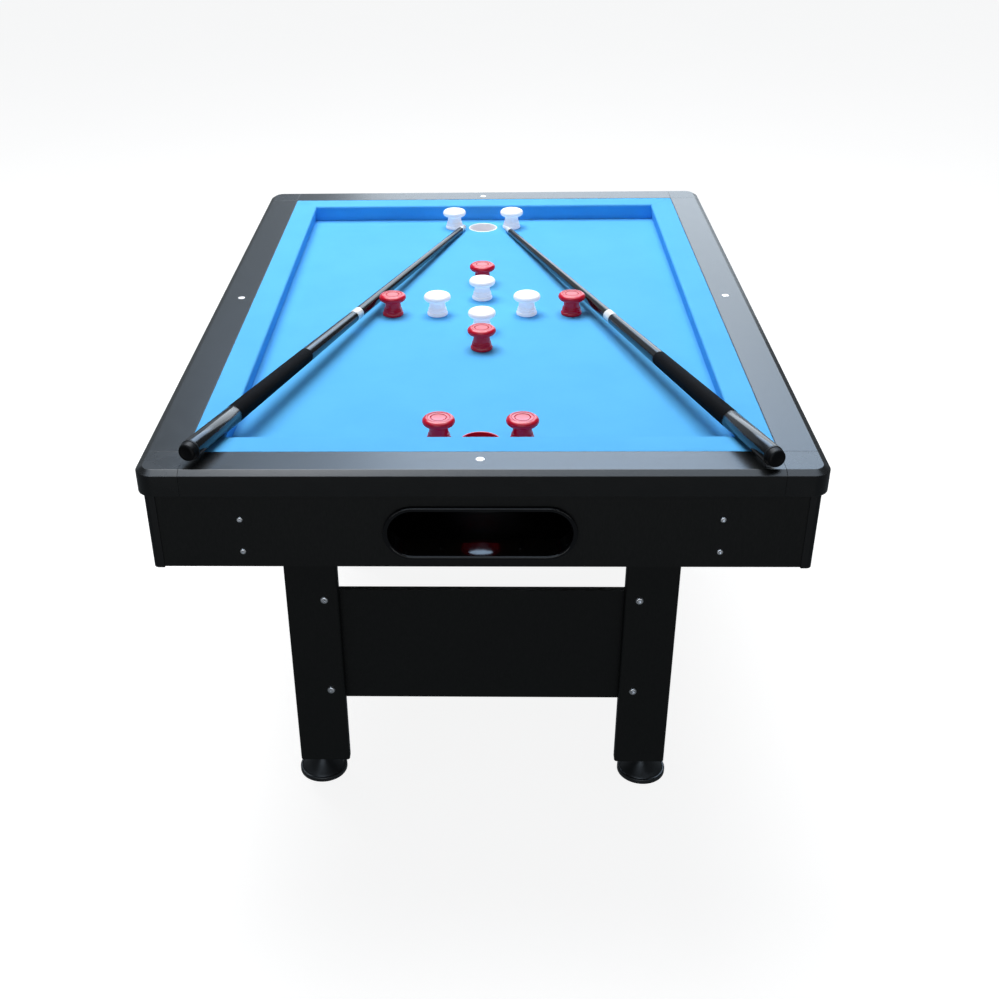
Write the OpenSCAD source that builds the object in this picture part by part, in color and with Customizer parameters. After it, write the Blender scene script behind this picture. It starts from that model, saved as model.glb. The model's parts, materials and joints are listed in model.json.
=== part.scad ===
// Bumper pool table: a 54 by 38 inch cabinet on four L-section legs, with twelve bumper posts,
// a hole and a ball-return box at each end, four screw feet and two 48 inch cues laid on top.
// Origin on the floor under the table's centre, +X to the right, +Y from the near end to the
// far end, +Z up. All lengths are in millimetres.

/* [Table] */
// Overall width over the rails
table_w = 978; // [940:1:1020]
// Overall length over the rails
table_l = 1385; // [1340:1:1430]
// Height of the rail tops above the floor
top_z = 800; // [760:1:840]
// Height of the rail tops above the cloth bed
cushion_h = 34; // [32:1:38]

/* [Rails and cushions] */
// Width of a rail's black top
rail_w = 64.5; // [60:0.5:70]
// Depth of a rail's outer face
rail_h = 38.5; // [36:0.5:44]
// Width of the bevel along a rail's outer upper edge
bevel_w = 10; // [6:1:14]
// Height of that bevel
bevel_h = 6; // [4:1:10]
// Radius of a corner cap's upright edge
corner_round = 27; // [16:1:34]
// Width of a cushion's cloth top
cushion_w = 49.5; // [40:0.5:56]
// Radius of a cushion's nose
nose_r = 4; // [3:0.5:6]
// How far a cushion's face leans back under its nose
nose_under = 5; // [2:0.5:8]
// Thickness of the cloth
cloth_t = 1.5; // [1:0.1:2]
// Diameter of a rail sight
sight_d = 13; // [8:1:16]

/* [Cabinet] */
// Thickness of the apron boards
apron_t = 15; // [12:1:18]
// Height of the apron boards
apron_h = 122; // [110:1:130]
// How far a side apron sits in from the rail's edge
side_inset = 11; // [8:1:16]
// How far an end apron sits in from the rail's edge
end_inset = 10; // [8:1:16]
// How far a corner post stands proud of the aprons
post_proud = 1.5; // [0.5:0.5:3]
// Thickness of the bed board
bed_t = 19; // [16:1:25]
// Thickness of the long beams
beam_t = 16; // [14:1:22]
// Height of the beams and cross members
beam_h = 90; // [70:1:96]
// Thickness of the cross members
cross_t = 18; // [15:1:22]
// Distance of the outer cross members from the middle
cross_y = 320; // [280:1:330]
// Distance of the inner cross members from the middle, between two rows of bumper screws
cross_mid = 124; // [112:1:134]

/* [Legs] */
// Width of a leg's face
leg_w = 91; // [80:1:100]
// Thickness of a leg's boards
leg_t = 18; // [15:1:20]
// Outer face of a leg, from the middle of the table
leg_x = 337; // [320:1:350]
// Front face of a leg, from the middle of the table
leg_y = 433; // [420:1:460]
// Radius of a leg's upright edges
leg_round = 5; // [2:1:8]
// Thickness of an end panel
panel_t = 12; // [9:1:18]
// Height of an end panel's lower edge
panel_low = 190; // [160:1:220]
// Height of an end panel's upper edge
panel_high = 422; // [420:1:460]

/* [Screw feet] */
// Height of a leg's lower end above the floor
foot_h = 55; // [50:1:65]
// Diameter of a foot pad
pad_d = 89; // [70:1:90]
// Diameter of a foot's stud
stud_d = 10; // [8:1:12]
// Radial clearance of the stud in its nut and its pad
run_gap = 0.05; // [0.02:0.01:0.09]

/* [Holes and ball return] */
// Distance of a hole from the middle of the table
hole_y = 526; // [515:1:530]
// Bore of a hole's sleeve
hole_d = 57; // [55:0.5:58]
// Outer diameter of a hole's sleeve
sleeve_d = 62.5; // [61:0.5:64]
// Width of a ball-return mouth
mouth_w = 266; // [240:1:280]
// Height of a ball-return mouth
mouth_h = 73; // [68:1:75]
// Height of a mouth's middle above the floor
mouth_z = 697; // [695:1:699]
// Width of the bezel around a mouth
bezel_w = 7; // [5:1:9]
// How far a bezel stands proud
bezel_proud = 6; // [3:1:8]
// Wall of the moulded ball box
box_wall = 3; // [2:0.5:4]

/* [Bumpers] */
// Distance between the bumpers of the centre cross
bumper_pitch = 83; // [80:1:86]
// Distance of an end bumper from the long centre line
gate_x = 63; // [60:1:66]
// Diameter of a bumper's cap
cap_d = 50; // [44:1:50]
// Height of a bumper above the cloth
bumper_h = 40; // [36:1:42]
// Diameter of a bumper's base
base_d = 38.8; // [34:0.2:39]

/* [Cues] */
// Length of a cue
cue_len = 1240; // [1230:1:1250]
// Diameter of a cue's tip
cue_tip_d = 12.5; // [11:0.5:13]
// Diameter of a cue at its butt
cue_butt_d = 29.8; // [29:0.1:30]
// Air left between a resting cue and the cloth
rest_gap = 0.3; // [0.2:0.1:0.5]

/* [Hidden] */
$fn = 48;
eps = 1;

// Colours
black_laminate = [0.09, 0.09, 0.09];
black_plastic = [0.05, 0.05, 0.06];
bare_board = [0.62, 0.50, 0.36];
sky_cloth = [0.25, 0.62, 0.95];
gum_rubber = [0.35, 0.30, 0.26];
zinc = [0.75, 0.76, 0.78];
bumper_red = [0.80, 0.10, 0.14];
bumper_white = [0.93, 0.93, 0.95];

// Levels
bed_z = top_z - cushion_h;
board_top = bed_z - cloth_t;
board_low = board_top - bed_t;
skirt_z = top_z - rail_h;
apron_low = skirt_z - apron_h;
beam_low = board_low - beam_h;

// Outer faces of the aprons, and their inner faces
side_x = table_w / 2 - side_inset;
end_y = table_l / 2 - end_inset;
inner_x = side_x - apron_t;
inner_y = end_y - apron_t;
fit_gap = 0.5;
post_extra = 1.5;

// Half lengths of the rails between the corner caps
half_end = table_w / 2 - rail_w;
half_side = table_l / 2 - rail_w;
// A sight lies a little inward of the middle of the flat part of a rail's top
sight_in = (rail_w + bevel_w) / 2 + 3.5;
// Distance of a nose from the middle
nose_x = half_end - cushion_w;
nose_y = half_side - cushion_w;

// Leg: its corner block behind the front board, and the foot under that block
block_w = 34;
block_d = 50;
block_x = leg_x - leg_t - block_w;
foot_x = leg_x - leg_t - block_w / 2;
foot_y = leg_y - leg_t - block_d / 2;
beam_x = leg_x + beam_t / 2;

// Fasteners: [shank diameter, head diameter, head height]
apron_screw = [5, 9, 2.5];
panel_bolt = [8, 14, 4.5];
leg_bolt = [8, 16, 4];
bumper_screw = [5, 10, 3];
apron_screw_z = [665.5, 719];
panel_bolt_z = [219.5, 414];
leg_bolt_z = [680, 725];
panel_bolt_x = 270.5;
apron_screw_len = 60;
panel_bolt_len = leg_t + panel_t - 2;
leg_bolt_len = 53;
bumper_screw_len = bed_t + cloth_t + 16;

// Screw feet
nut_d = 16;
nut_h = 20;
nut_flange_d = 24;
nut_flange_t = 2;
stud_low = 12;
stud_high = 108;
pad_rim_h = 10;
pad_cone_h = 26;
pad_stem_d = 26;
pad_top = foot_h - 0.6;

// Ball box, from its mouth to behind the hole
sill = 30;
box_back = hole_y - 45;
box_half = mouth_w / 2 + 6;
box_floor = mouth_z - mouth_h / 2 - 6;
box_top = board_low - 0.4;

// Bumper rings, as heights above the cloth
ring_r = 8.5;
waist_r = 14.2;
base_h = 5.5;
step_r = 16.2;
step_h = 9;
stem_h = 14;
insert_depth = 20;

// Bumper places
cross_steps = [bumper_pitch, 2 * bumper_pitch];
white_places = [
    for (s = [-1, 1]) [s * cross_steps[0], 0],
    for (s = [-1, 1]) [0, s * cross_steps[0]],
    for (s = [-1, 1]) [s * gate_x, hole_y]
];
red_places = [
    for (s = [-1, 1]) [s * cross_steps[1], 0],
    for (s = [-1, 1]) [0, s * cross_steps[1]],
    for (s = [-1, 1]) [s * gate_x, -hole_y]
];

// Cues in plan: [tip, a point on the axis near the butt end]
left_cue = [[-42, 510.4], [-410, -662]];
right_cue = [[53.1, 496], [406.6, -684.8]];
// Stations along a cue from its tip: [distance, diameter]
ferrule_end = 25;
joint_at = 606;
collar_end = 630;
grip_start = 835;
grip_end = 1094;
cap_start = cue_len - 15;
joint_d = 20;
grip_start_d = 25;
grip_end_d = 29;
grip_wrap = 0.8;
joint_gap = 0.3;
pin_d = 8;
pin_len = 30;

// --- Placing helpers ---

// Turns a piece made for the left side to side 0 left, 1 front, 2 right, 3 back,
// with its outer face at the given distance from the middle
module on_side(side, half) {
    rotate([0, 0, 90 * side]) translate([-half, 0, 0]) children();
}

// Draws a section, x inward and y up, along a rail of the given half length
module along(half) {
    rotate([90, 0, 0]) linear_extrude(2 * half, center = true) children();
}

// Mirrors a piece made for the front right corner to any corner
module at_corner(sx, sy) {
    mirror([sx < 0 ? 1 : 0, 0, 0]) mirror([0, sy > 0 ? 1 : 0, 0]) children();
}

module board(x0, x1, y0, y1, z0, z1) {
    translate([x0, y0, z0]) cube([x1 - x0, y1 - y0, z1 - z0]);
}

// A round bar along +X, +Y or +Z
module bar_x(x, y, z, d, l) { translate([x, y, z]) rotate([0, 90, 0]) cylinder(d = d, h = l); }
module bar_y(x, y, z, d, l) { translate([x, y, z]) rotate([-90, 0, 0]) cylinder(d = d, h = l); }
module bar_z(x, y, z, d, l) { translate([x, y, z]) cylinder(d = d, h = l); }

// --- Bed ---

module hole_pair(d, low, high) {
    for (s = [-1, 1]) bar_z(0, s * hole_y, low, d, high - low);
}

module screw_holes(low, high) {
    for (p = concat(red_places, white_places)) bar_z(p[0], p[1], low, bumper_screw[0], high - low);
}

module bed_board() {
    x = inner_x - fit_gap;
    y = inner_y - fit_gap;
    color(bare_board) difference() {
        board(-x, x, -y, y, board_low, board_top);
        hole_pair(sleeve_d, board_low - eps, board_top + eps);
        screw_holes(board_low - eps, board_top + eps);
    }
}

module bed_cloth() {
    x = inner_x - fit_gap;
    y = inner_y - fit_gap;
    color(sky_cloth) difference() {
        board(-x, x, -y, y, board_top, bed_z);
        hole_pair(sleeve_d, board_top - eps, bed_z + eps);
        screw_holes(board_top - eps, bed_z + eps);
    }
}

// --- Rails ---

// Section of a rail: rounded outer upper edge, underside stepped up over the bed
module rail_section(inset) {
    difference() {
        polygon([
            [0, skirt_z], [0, top_z - bevel_h], [bevel_w, top_z], [rail_w, top_z], [rail_w, skirt_z]
        ]);
        translate([inset + apron_t, skirt_z - eps]) square([rail_w, bed_z - skirt_z + eps]);
    }
}

module rail(side, half_width, half_length, inset) {
    color(black_laminate) on_side(side, half_width) difference() {
        along(half_length) rail_section(inset);
        bar_z(sight_in, 0, top_z - 3, sight_d, 3 + eps);
    }
}

module rail_front() { rail(1, table_l / 2, half_end, end_inset); }
module rail_back() { rail(3, table_l / 2, half_end, end_inset); }
module rail_left() { rail(0, table_w / 2, half_side, side_inset); }
module rail_right() { rail(2, table_w / 2, half_side, side_inset); }

module sight(x, y) {
    bar_z(x, y, top_z - 3, sight_d, 3.3);
}

module rail_sights() {
    color(bumper_white) {
        for (s = [-1, 1]) sight(s * (table_w / 2 - sight_in), 0);
        for (s = [-1, 1]) sight(0, s * (table_l / 2 - sight_in));
    }
}

// Section of a corner cap from the axis of its upright edge outward
module cap_section(reach) {
    polygon([
        [0, 0], [0, rail_h], [reach - bevel_w, rail_h], [reach, rail_h - bevel_h], [reach, 0]
    ]);
}

module corner_cap(sx, sy) {
    flat = rail_w - corner_round;
    cx = table_w / 2 - corner_round;
    cy = table_l / 2 - corner_round;
    color(black_laminate) at_corner(sx, sy) difference() {
        translate([cx, -cy, skirt_z]) union() {
            rotate([0, 0, -90]) rotate_extrude(angle = 90) cap_section(corner_round);
            translate([-flat, 0, 0]) cube([flat, flat, rail_h]);
            translate([0, flat, 0]) rotate([90, 0, 0]) linear_extrude(flat) cap_section(corner_round);
            rotate([0, 0, -90]) rotate([90, 0, 0]) linear_extrude(flat) cap_section(corner_round);
        }
        board(0, inner_x, -inner_y, 0, skirt_z - eps, bed_z);
    }
}

module corner_cap_front_left() { corner_cap(-1, -1); }
module corner_cap_front_right() { corner_cap(1, -1); }
module corner_cap_back_left() { corner_cap(-1, 1); }
module corner_cap_back_right() { corner_cap(1, 1); }

// --- Cushions ---

// Section of a cushion inward from the rail, shrunk by skin on its free sides
module cushion_section(skin) {
    reach = cushion_w - skin;
    high = top_z - skin;
    low = bed_z + skin;
    r = nose_r - skin;
    polygon([
        [0, low], [reach - nose_under, low], [reach, high - r], [reach - r, high], [0, high]
    ]);
    translate([reach - r, high - r]) circle(r);
}

// A cushion's section run along its rail and mitred at both ends
module mitred(half_length) {
    deep = cushion_w + eps;
    end = half_length - 0.1;
    intersection() {
        along(half_length) children();
        translate([0, 0, bed_z - eps]) linear_extrude(cushion_h + 2 * eps)
            polygon([[0, -end], [deep, deep - end], [deep, end - deep], [0, end]]);
    }
}

module cushion_rubbers() {
    color(gum_rubber) {
        for (side = [0, 2]) on_side(side, half_end) mitred(half_side) cushion_section(cloth_t);
        for (side = [1, 3]) on_side(side, half_side) mitred(half_end) cushion_section(cloth_t);
    }
}

module cushion_cloth(side, half_width, half_length) {
    color(sky_cloth) on_side(side, half_width) mitred(half_length) difference() {
        cushion_section(0);
        translate([-eps, 0]) square([eps, top_z]);
        cushion_section(cloth_t);
    }
}

module cushion_cloth_front() { cushion_cloth(1, half_side, half_end); }
module cushion_cloth_back() { cushion_cloth(3, half_side, half_end); }
module cushion_cloth_left() { cushion_cloth(0, half_end, half_side); }
module cushion_cloth_right() { cushion_cloth(2, half_end, half_side); }

// --- Cabinet ---

// A slot with round ends, centred on the origin
module slot_shape(w, h) {
    square([w - h, h], center = true);
    for (s = [-1, 1]) translate([s * (w - h) / 2, 0]) circle(d = h);
}

module end_apron(sy) {
    hole = [mouth_w + 2 * box_wall + 0.4, mouth_h + 2 * box_wall + 0.4];
    color(black_laminate) at_corner(1, sy) difference() {
        board(-inner_x, inner_x, -end_y, -inner_y, apron_low, skirt_z);
        translate([0, -inner_y + eps, mouth_z]) rotate([90, 0, 0])
            linear_extrude(apron_t + 2 * eps) slot_shape(hole[0], hole[1]);
        for (sx = [-1, 1], z = apron_screw_z)
            bar_y(sx * beam_x, -end_y - eps, z, apron_screw[0], apron_t + 2 * eps);
    }
}

module apron_front() { end_apron(-1); }
module apron_back() { end_apron(1); }

module side_apron(sx) {
    color(black_laminate) at_corner(sx, -1)
        board(inner_x, side_x, -inner_y, inner_y, apron_low, skirt_z);
}

module apron_left() { side_apron(-1); }
module apron_right() { side_apron(1); }

// A corner post closes the aprons' ends; its outer edge is rounded
module corner_posts() {
    w = apron_t + post_proud;
    r = w / 2;
    color(black_plastic) for (sx = [-1, 1], sy = [-1, 1]) at_corner(sx, sy)
        translate([inner_x, -inner_y - w, apron_low - post_extra])
            linear_extrude(apron_h + post_extra) union() {
                square([w - r, w]);
                translate([0, r]) square([w, w - r]);
                translate([w - r, r]) circle(r);
            }
}

module side_beams() {
    color(bare_board) for (sx = [-1, 1]) at_corner(sx, -1) difference() {
        board(leg_x, leg_x + beam_t, -inner_y, inner_y, beam_low, board_low);
        for (sy = [-1, 1], z = apron_screw_z) {
            depth = apron_screw_len - apron_t;
            bar_y(beam_x, sy * (inner_y - depth / 2) - depth / 2 - eps / 2, z,
                  apron_screw[0], depth + eps);
        }
        for (sy = [-1, 1], z = leg_bolt_z)
            bar_x(leg_x - eps, sy * foot_y, z, leg_bolt[0], beam_t + 2 * eps);
    }
}

module cross_members() {
    color(bare_board) for (y = [-cross_y, -cross_mid, cross_mid, cross_y])
        board(-leg_x, leg_x, y - cross_t / 2, y + cross_t / 2, beam_low, board_low);
}

// --- Legs and end panels ---

// Plan of the front right leg: front board, side board and corner block
module leg_plan() {
    x0 = leg_x - leg_w;
    y1 = -leg_y + leg_t;
    translate([x0 + leg_round, -leg_y]) square([leg_w - 2 * leg_round, leg_t]);
    translate([x0, -leg_y + leg_round]) square([leg_w, leg_t - leg_round]);
    for (x = [x0 + leg_round, leg_x - leg_round]) translate([x, -leg_y + leg_round]) circle(leg_round);
    translate([leg_x - leg_t, y1]) square([leg_t, leg_w - leg_t]);
    translate([block_x, y1]) square([block_w, block_d]);
}

module leg(sx, sy) {
    color(black_laminate) at_corner(sx, sy) difference() {
        translate([0, 0, foot_h]) linear_extrude(board_low - foot_h) leg_plan();
        for (z = panel_bolt_z) bar_y(panel_bolt_x, -leg_y - eps, z, panel_bolt[0], leg_t + 2 * eps);
        for (z = leg_bolt_z)
            bar_x(leg_x + beam_t - leg_bolt_len, -foot_y, z, leg_bolt[0], leg_bolt_len);
        bar_z(foot_x, -foot_y, foot_h - eps, nut_flange_d, nut_flange_t + eps);
        bar_z(foot_x, -foot_y, foot_h - eps, nut_d, nut_h + eps);
        bar_z(foot_x, -foot_y, foot_h - eps, stud_d + 1, stud_high - foot_h + 2 * eps);
    }
}

module leg_front_left() { leg(-1, -1); }
module leg_front_right() { leg(1, -1); }
module leg_back_left() { leg(-1, 1); }
module leg_back_right() { leg(1, 1); }

module end_panel(sy) {
    x = block_x - fit_gap;
    color(black_laminate) at_corner(1, sy) difference() {
        board(-x, x, -leg_y + leg_t, -leg_y + leg_t + panel_t, panel_low, panel_high);
        for (sx = [-1, 1], z = panel_bolt_z)
            bar_y(sx * panel_bolt_x, -leg_y + leg_t - eps, z, panel_bolt[0],
                  panel_bolt_len - leg_t + eps);
    }
}

module end_panel_front() { end_panel(-1); }
module end_panel_back() { end_panel(1); }

// --- Screw feet ---

// A foot pad: rim, cone and stem around the blind bore that takes the stud
module foot_pad(sx, sy) {
    color(black_plastic) at_corner(sx, sy) translate([foot_x, -foot_y, 0]) difference() {
        union() {
            cylinder(d = pad_d, h = pad_rim_h - 1);
            translate([0, 0, pad_rim_h - 1]) cylinder(d1 = pad_d, d2 = pad_d - 2, h = 1);
            translate([0, 0, pad_rim_h]) cylinder(d1 = pad_d - 4, d2 = pad_stem_d, h = pad_cone_h);
            cylinder(d = pad_stem_d, h = pad_top);
        }
        translate([0, 0, stud_low]) cylinder(d = stud_d + 2 * run_gap, h = pad_top);
    }
}

module foot_pad_front_left() { foot_pad(-1, -1); }
module foot_pad_front_right() { foot_pad(1, -1); }
module foot_pad_back_left() { foot_pad(-1, 1); }
module foot_pad_back_right() { foot_pad(1, 1); }

module foot_stud(sx, sy) {
    color(zinc) at_corner(sx, sy)
        bar_z(foot_x, -foot_y, stud_low + rest_gap, stud_d, stud_high - stud_low - rest_gap);
}

module foot_stud_front_left() { foot_stud(-1, -1); }
module foot_stud_front_right() { foot_stud(1, -1); }
module foot_stud_back_left() { foot_stud(-1, 1); }
module foot_stud_back_right() { foot_stud(1, 1); }

module tee_nuts() {
    color(zinc) for (sx = [-1, 1], sy = [-1, 1]) at_corner(sx, sy)
        translate([foot_x, -foot_y, foot_h]) difference() {
            union() {
                cylinder(d = nut_flange_d, h = nut_flange_t);
                cylinder(d = nut_d, h = nut_h);
            }
            translate([0, 0, -eps]) cylinder(d = stud_d + 2 * run_gap, h = nut_h + 2 * eps);
        }
}

// --- Fasteners ---

// A round-headed screw along +Y: its head lies outside the face at the origin
module screw(size, length) {
    difference() {
        rotate([90, 0, 0]) cylinder(d1 = size[1], d2 = size[1] - 2, h = size[2]);
        translate([0, -size[2] / 2, 0]) rotate([90, 0, 0])
            cylinder(d = size[1] * 0.45, h = size[2], $fn = 6);
    }
    rotate([-90, 0, 0]) cylinder(d = size[0], h = length);
}

module apron_screws() {
    color(zinc) for (sx = [-1, 1], sy = [-1, 1], z = apron_screw_z) at_corner(sx, sy)
        translate([beam_x, -end_y, z]) screw(apron_screw, apron_screw_len);
}

module panel_bolts() {
    color(zinc) for (sx = [-1, 1], sy = [-1, 1], z = panel_bolt_z) at_corner(sx, sy)
        translate([panel_bolt_x, -leg_y, z]) screw(panel_bolt, panel_bolt_len);
}

module leg_bolts() {
    color(zinc) for (sx = [-1, 1], sy = [-1, 1], z = leg_bolt_z) at_corner(sx, sy)
        translate([leg_x + beam_t, -foot_y, z]) rotate([0, 0, 90]) screw(leg_bolt, leg_bolt_len);
}

module bumper_screws() {
    color(zinc) for (p = concat(red_places, white_places))
        translate([p[0], p[1], board_low]) rotate([90, 0, 0]) screw(bumper_screw, bumper_screw_len);
}

// --- Ball return ---

module slot_tube(w, h, wall, y0, y1) {
    translate([0, y1, mouth_z]) rotate([90, 0, 0]) linear_extrude(y1 - y0) difference() {
        slot_shape(w + 2 * wall, h + 2 * wall);
        slot_shape(w, h);
    }
}

// The bezel, the mouth's sleeve through the apron and the open-topped box under the hole
module ball_box(sy) {
    front = -end_y + sill;
    x = box_half + box_wall;
    color(black_plastic) at_corner(1, sy) union() {
        slot_tube(mouth_w, mouth_h, bezel_w, -end_y - bezel_proud, -end_y);
        slot_tube(mouth_w, mouth_h, box_wall, -end_y, front);
        difference() {
            board(-x, x, front, -box_back + box_wall, box_floor - box_wall, box_top);
            board(-box_half, box_half, front + box_wall, -box_back, box_floor, box_top + eps);
            translate([0, front + box_wall + eps, mouth_z]) rotate([90, 0, 0])
                linear_extrude(box_wall + 2 * eps) slot_shape(mouth_w, mouth_h);
        }
    }
}

module ball_box_front() { ball_box(-1); }
module ball_box_back() { ball_box(1); }

module hole_sleeve(sy, tint) {
    low = board_low - 5;
    high = bed_z + 0.6;
    color(tint) translate([0, sy * hole_y, low]) difference() {
        cylinder(d = sleeve_d, h = high - low);
        translate([0, 0, -eps]) cylinder(d = hole_d, h = high - low + 2 * eps);
    }
}

module hole_sleeve_red() { hole_sleeve(-1, bumper_red); }
module hole_sleeve_white() { hole_sleeve(1, bumper_white); }

// --- Bumpers ---

// Half section of a bumper post: base flange, step, stem, waist and rounded rubber cap
module bumper_section() {
    square([base_d / 2, base_h - 1]);
    square([base_d / 2 - 1, base_h]);
    square([step_r, step_h]);
    square([step_r - 1.6, stem_h]);
    square([waist_r, bumper_h - 2 * ring_r + 2]);
    translate([0, bumper_h - 2 * ring_r]) square([cap_d / 2 - ring_r, 2 * ring_r - 1]);
    translate([cap_d / 2 - ring_r, bumper_h - ring_r]) circle(ring_r);
}

module bumper() {
    difference() {
        rotate_extrude() bumper_section();
        translate([0, 0, -eps]) cylinder(d = bumper_screw[0], h = insert_depth + eps);
    }
}

module red_bumpers() {
    color(bumper_red) for (p = red_places) translate([p[0], p[1], bed_z]) bumper();
}

module white_bumpers() {
    color(bumper_white) for (p = white_places) translate([p[0], p[1], bed_z]) bumper();
}

// --- Cues ---

// A cue's tip rests on the bed and its butt on a cushion's nose
tip_z = bed_z + cue_tip_d / 2 + rest_gap;
function plan_dir(cue) = (cue[1] - cue[0]) / norm(cue[1] - cue[0]);
// Distance in plan from its tip to the first nose that it crosses, the end's or the side's
function nose_run(cue) = min((cue[0][1] + nose_y) / -plan_dir(cue)[1],
                             (nose_x - abs(cue[0][0])) / abs(plan_dir(cue)[0]));
function cue_tilt(cue) = atan((top_z + (cue_butt_d - 0.6) / 2 + rest_gap - tip_z) / nose_run(cue));
function cue_turn(cue) = atan2(cue[1][1] - cue[0][1], cue[1][0] - cue[0][0]);

module on_cue(cue) {
    translate([cue[0][0], cue[0][1], tip_z])
        rotate([0, 90 - cue_tilt(cue), cue_turn(cue)]) children();
}

// A tapered length of a cue from one station to the next
module taper(s0, s1, d0, d1) {
    translate([0, 0, s0]) cylinder(d1 = d0, d2 = d1, h = s1 - s0);
}

module cue_butt(cue) {
    color(black_plastic) on_cue(cue) {
        taper(collar_end, grip_start, joint_d + 0.4, grip_start_d);
        taper(grip_start, grip_end, grip_start_d - 2 * grip_wrap, grip_end_d - 2 * grip_wrap);
        taper(grip_end, cap_start, grip_end_d - 0.4, cue_butt_d - 0.4);
        taper(joint_at - pin_len, collar_end, pin_d, pin_d);
    }
}

module cue_grip(cue) {
    color(black_laminate) on_cue(cue) difference() {
        taper(grip_start, grip_end, grip_start_d, grip_end_d);
        taper(grip_start, grip_end, grip_start_d - 2 * grip_wrap, grip_end_d - 2 * grip_wrap);
    }
}

module cue_collar(cue) {
    color(bumper_white) on_cue(cue) difference() {
        taper(joint_at + joint_gap, collar_end, joint_d + 0.6, joint_d + 0.8);
        taper(joint_at, collar_end + eps, pin_d, pin_d);
    }
}

module cue_shaft(cue) {
    color(black_plastic) on_cue(cue) difference() {
        taper(ferrule_end, joint_at, cue_tip_d, joint_d);
        taper(joint_at - pin_len - joint_gap, joint_at + eps, pin_d + 2 * run_gap, pin_d + 2 * run_gap);
    }
}

module cue_ferrule(cue) {
    dome = 3;
    color(bumper_white) on_cue(cue) {
        taper(0, dome, cue_tip_d - 4, cue_tip_d);
        taper(dome, ferrule_end, cue_tip_d, cue_tip_d);
    }
}

module cue_cap(cue) {
    round_off = 3;
    color(black_plastic) on_cue(cue) {
        taper(cap_start, cue_len - round_off, cue_butt_d, cue_butt_d - 3);
        taper(cue_len - round_off, cue_len, cue_butt_d - 3, cue_butt_d - 8);
    }
}

module cue_left_butt() { cue_butt(left_cue); }
module cue_left_grip() { cue_grip(left_cue); }
module cue_left_collar() { cue_collar(left_cue); }
module cue_left_shaft() { cue_shaft(left_cue); }
module cue_left_ferrule() { cue_ferrule(left_cue); }
module cue_left_cap() { cue_cap(left_cue); }
module cue_right_butt() { cue_butt(right_cue); }
module cue_right_grip() { cue_grip(right_cue); }
module cue_right_collar() { cue_collar(right_cue); }
module cue_right_shaft() { cue_shaft(right_cue); }
module cue_right_ferrule() { cue_ferrule(right_cue); }
module cue_right_cap() { cue_cap(right_cue); }

bed_board();
bed_cloth();
rail_front();
rail_back();
rail_left();
rail_right();
corner_cap_front_left();
corner_cap_front_right();
corner_cap_back_left();
corner_cap_back_right();
cushion_rubbers();
cushion_cloth_front();
cushion_cloth_back();
cushion_cloth_left();
cushion_cloth_right();
rail_sights();
apron_front();
apron_back();
apron_left();
apron_right();
corner_posts();
side_beams();
cross_members();
leg_front_left();
leg_front_right();
leg_back_left();
leg_back_right();
end_panel_front();
end_panel_back();
foot_pad_front_left();
foot_pad_front_right();
foot_pad_back_left();
foot_pad_back_right();
foot_stud_front_left();
foot_stud_front_right();
foot_stud_back_left();
foot_stud_back_right();
tee_nuts();
apron_screws();
panel_bolts();
leg_bolts();
ball_box_front();
ball_box_back();
hole_sleeve_red();
hole_sleeve_white();
red_bumpers();
white_bumpers();
bumper_screws();
cue_left_butt();
cue_left_grip();
cue_left_collar();
cue_left_shaft();
cue_left_ferrule();
cue_left_cap();
cue_right_butt();
cue_right_grip();
cue_right_collar();
cue_right_shaft();
cue_right_ferrule();
cue_right_cap();
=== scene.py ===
"""Looks of the bumper pool table: detailed meshes, materials, studio and camera around the CAD frame."""
import json
import math

import bmesh
import bpy
from mathutils import Matrix, Vector


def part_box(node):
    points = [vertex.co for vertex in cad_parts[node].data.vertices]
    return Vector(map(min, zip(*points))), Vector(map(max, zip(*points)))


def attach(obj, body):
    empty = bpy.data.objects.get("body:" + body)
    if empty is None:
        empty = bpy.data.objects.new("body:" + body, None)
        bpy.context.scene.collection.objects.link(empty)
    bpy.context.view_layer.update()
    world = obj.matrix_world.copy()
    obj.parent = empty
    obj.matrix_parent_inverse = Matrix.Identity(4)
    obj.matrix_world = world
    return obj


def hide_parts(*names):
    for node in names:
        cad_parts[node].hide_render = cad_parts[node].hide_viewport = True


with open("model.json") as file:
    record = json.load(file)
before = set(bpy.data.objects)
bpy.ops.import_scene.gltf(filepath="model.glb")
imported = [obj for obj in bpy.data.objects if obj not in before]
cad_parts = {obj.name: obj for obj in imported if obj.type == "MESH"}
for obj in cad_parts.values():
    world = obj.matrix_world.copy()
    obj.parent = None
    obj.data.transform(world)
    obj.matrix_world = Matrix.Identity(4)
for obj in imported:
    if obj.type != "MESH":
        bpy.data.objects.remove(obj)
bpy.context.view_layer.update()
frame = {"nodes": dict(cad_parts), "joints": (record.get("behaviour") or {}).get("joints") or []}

NODES = frame["nodes"]
JOINTS = {joint["name"]: joint for joint in frame["joints"]}

SIDES = (("left", 0), ("front", 1), ("right", 2), ("back", 3))
ENDS = (("front", -1), ("back", 1))
CORNERS = tuple((f"{y}_{x}", sx, sy) for y, sy in ENDS for x, sx in (("left", -1), ("right", 1)))

# --- Sizes that the frame's boxes don't give, in metres ---

# Widths of the bevels that soften() gives to boards, to seams, and to smaller parts
EDGE = 0.0009
SEAM = 0.0005
THIN_EDGE = 0.0006
LIP_EDGE = 0.0008
NUT_EDGE = 0.0003

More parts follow.
